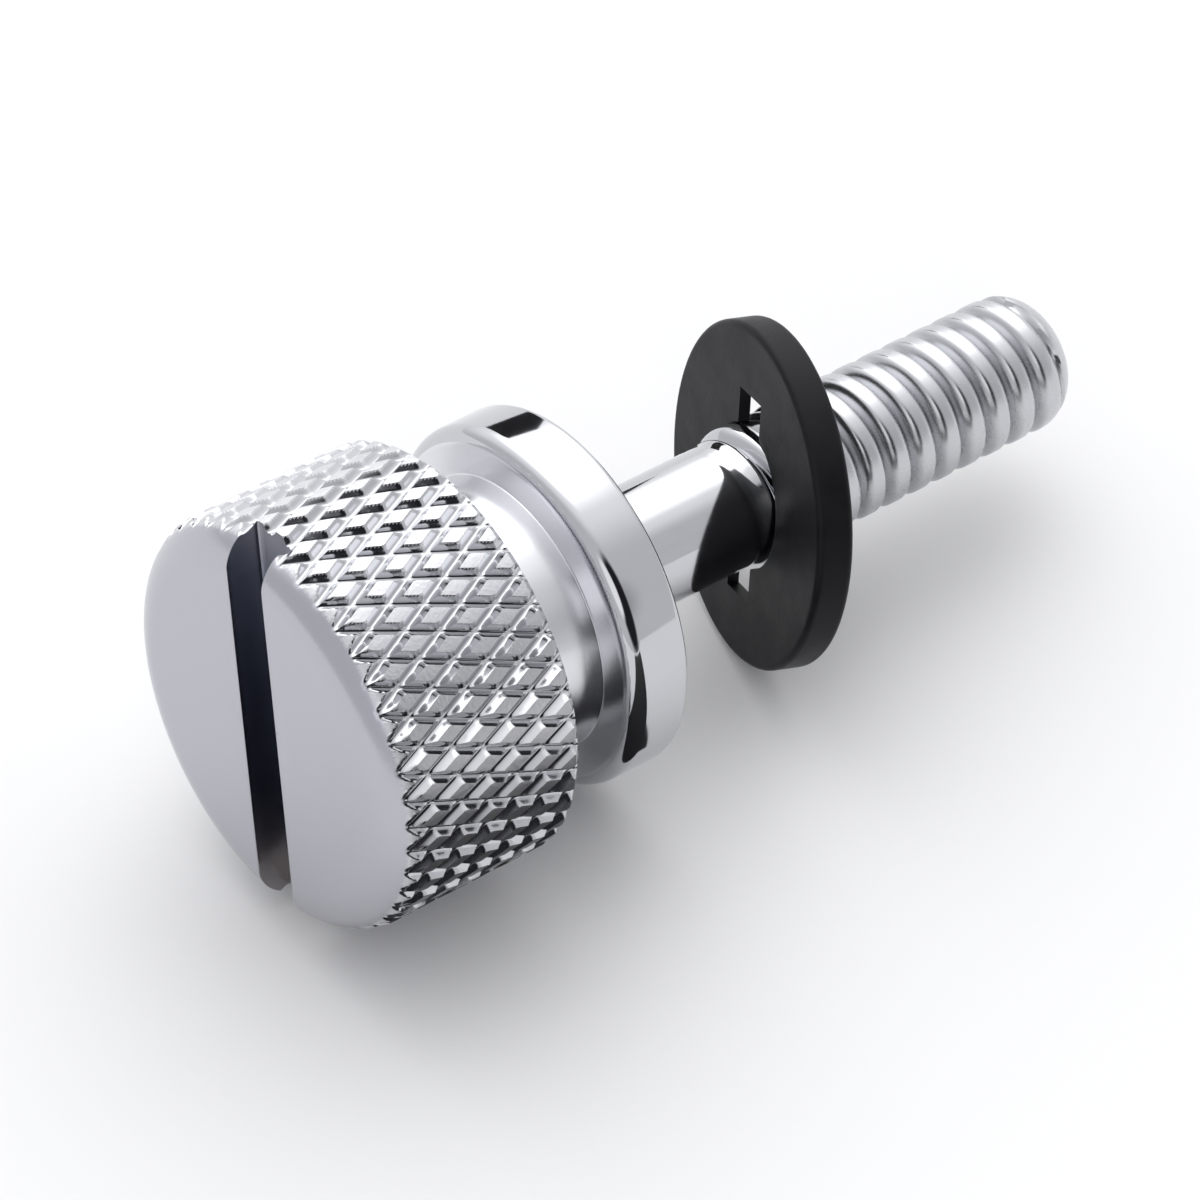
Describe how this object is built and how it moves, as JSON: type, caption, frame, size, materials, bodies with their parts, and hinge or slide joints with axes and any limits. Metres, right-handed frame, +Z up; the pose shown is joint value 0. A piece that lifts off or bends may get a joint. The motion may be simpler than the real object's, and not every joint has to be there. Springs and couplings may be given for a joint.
{
  "type": "knurled thumb screw",
  "caption": "Slotted thumb screw with a diamond-knurled round head, a coved neck, a collar and a plain shank, carrying a loose cupped retaining washer where its thread begins.",
  "frame": {"origin": "on the floor, under the middle of the lying screw's box", "axes": "+X level from the slotted face towards the tip, +Z up; the screw lies on the back rim of its head and on the washer's rim, so its axis drops about 5.5 degrees towards the tip"},
  "size_m": [0.0324, 0.014, 0.0145],
  "materials": {
    "bright_chrome": "bright polished plate",
    "black_washer": "blackened, satin charcoal"
  },
  "bodies": {
    "screw_body": {"screw": "bright_chrome"},
    "washer_body": {"retaining_washer": "black_washer"}
  },
  "joints": [
    {"name": "washer_slide", "type": "slide", "parent": "screw_body", "child": "washer_body", "axis": [0.9954, 0, -0.0956], "range_m": [-0.0053, 0]}
  ]
}
